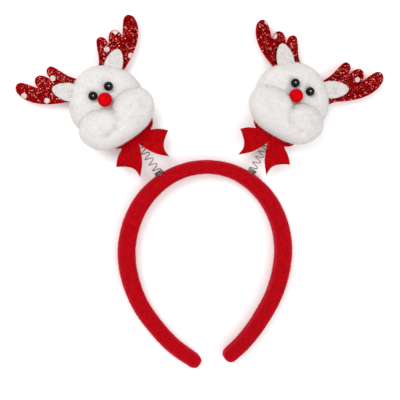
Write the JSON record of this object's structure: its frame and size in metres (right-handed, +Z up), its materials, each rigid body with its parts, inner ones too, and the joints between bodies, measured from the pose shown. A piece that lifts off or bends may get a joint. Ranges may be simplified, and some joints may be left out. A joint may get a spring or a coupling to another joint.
{
  "type": "reindeer antler headband",
  "caption": "Velvet-covered hair band carrying stuffed reindeer heads with glitter felt antlers and felt bows on wire springs, lying on its back.",
  "frame": {"origin": "middle of the bounding box, on the plane it lies on", "axes": "+X to the right as the faces are seen from the front, +Y from the open ends towards the crown, +Z up, the way the faces look"},
  "size_m": [0.296, 0.2832, 0.0326],
  "materials": {
    "red_velvet": "short-pile red velvet over padding",
    "red_felt": "flat red felt with cut edges",
    "red_glitter": "red glitter felt with round white dots",
    "red_pompom": "soft bright red pompom",
    "white_fleece": "white brushed fleece over stuffing",
    "white_felt": "white felt with cut edges",
    "black_bead": "polished black bead",
    "spring_wire": "bare drawn steel wire, slightly darkened"
  },
  "bodies": {
    "root": {"band": "red_velvet", "spring_left": "spring_wire", "head_left": "white_fleece", "muzzle_left": "white_fleece", "nose_left": "red_pompom", "eye_inner_left": "black_bead", "eye_outer_left": "black_bead", "ear_inner_left": "white_felt", "ear_outer_left": "white_felt", "antler_inner_left": "red_glitter", "antler_outer_left": "red_glitter", "bow_collar_left": "red_felt", "bow_tail_inner_left": "red_felt", "bow_tail_outer_left": "red_felt", "spring_right": "spring_wire", "head_right": "white_fleece", "muzzle_right": "white_fleece", "nose_right": "red_pompom", "eye_inner_right": "black_bead", "eye_outer_right": "black_bead", "ear_inner_right": "white_felt", "ear_outer_right": "white_felt", "antler_inner_right": "red_glitter", "antler_outer_right": "red_glitter", "bow_collar_right": "red_felt", "bow_tail_inner_right": "red_felt", "bow_tail_outer_right": "red_felt"}
  },
  "joints": []
}
